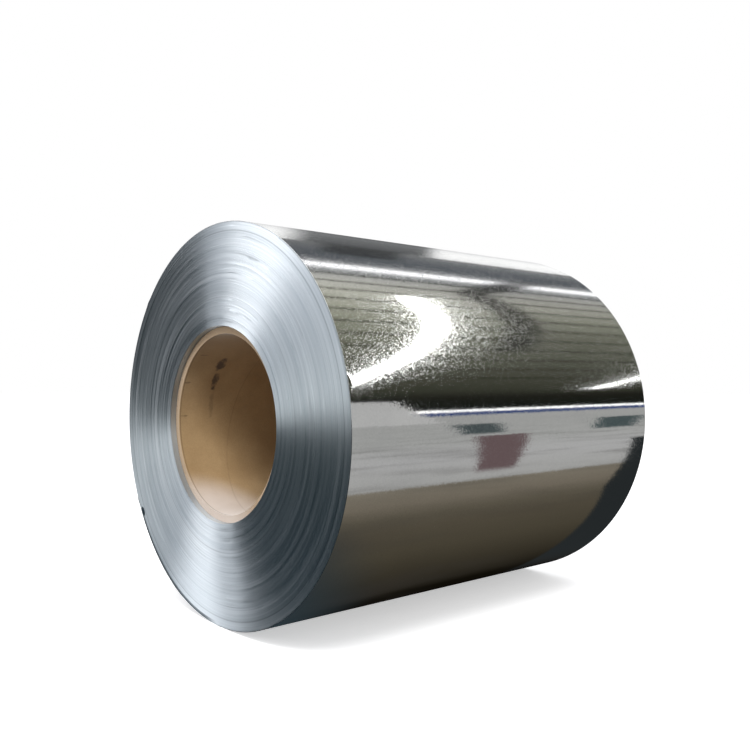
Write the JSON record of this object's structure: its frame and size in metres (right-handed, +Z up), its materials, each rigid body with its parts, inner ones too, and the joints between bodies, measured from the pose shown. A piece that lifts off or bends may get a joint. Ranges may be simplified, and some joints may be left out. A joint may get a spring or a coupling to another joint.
{
  "type": "galvanised steel coil on a paper core",
  "caption": "Wide coil of thin bright galvanised steel strip, wound on a paper tube and lying on its side.",
  "frame": {"origin": "on the floor, under the middle of the coil", "axes": "+Y along the coil's axis, from the near end to the far end; +Z up; +X to the right"},
  "size_m": [1.13, 1.25, 1.1296],
  "materials": {
    "galvanised_strip": "bright zinc coating with a fine spangle, brushed-looking ends",
    "kraft_paper": "matt brown spiral-wound paper"
  },
  "bodies": {
    "root": {"coil": "galvanised_strip", "core_tube": "kraft_paper"}
  },
  "joints": []
}
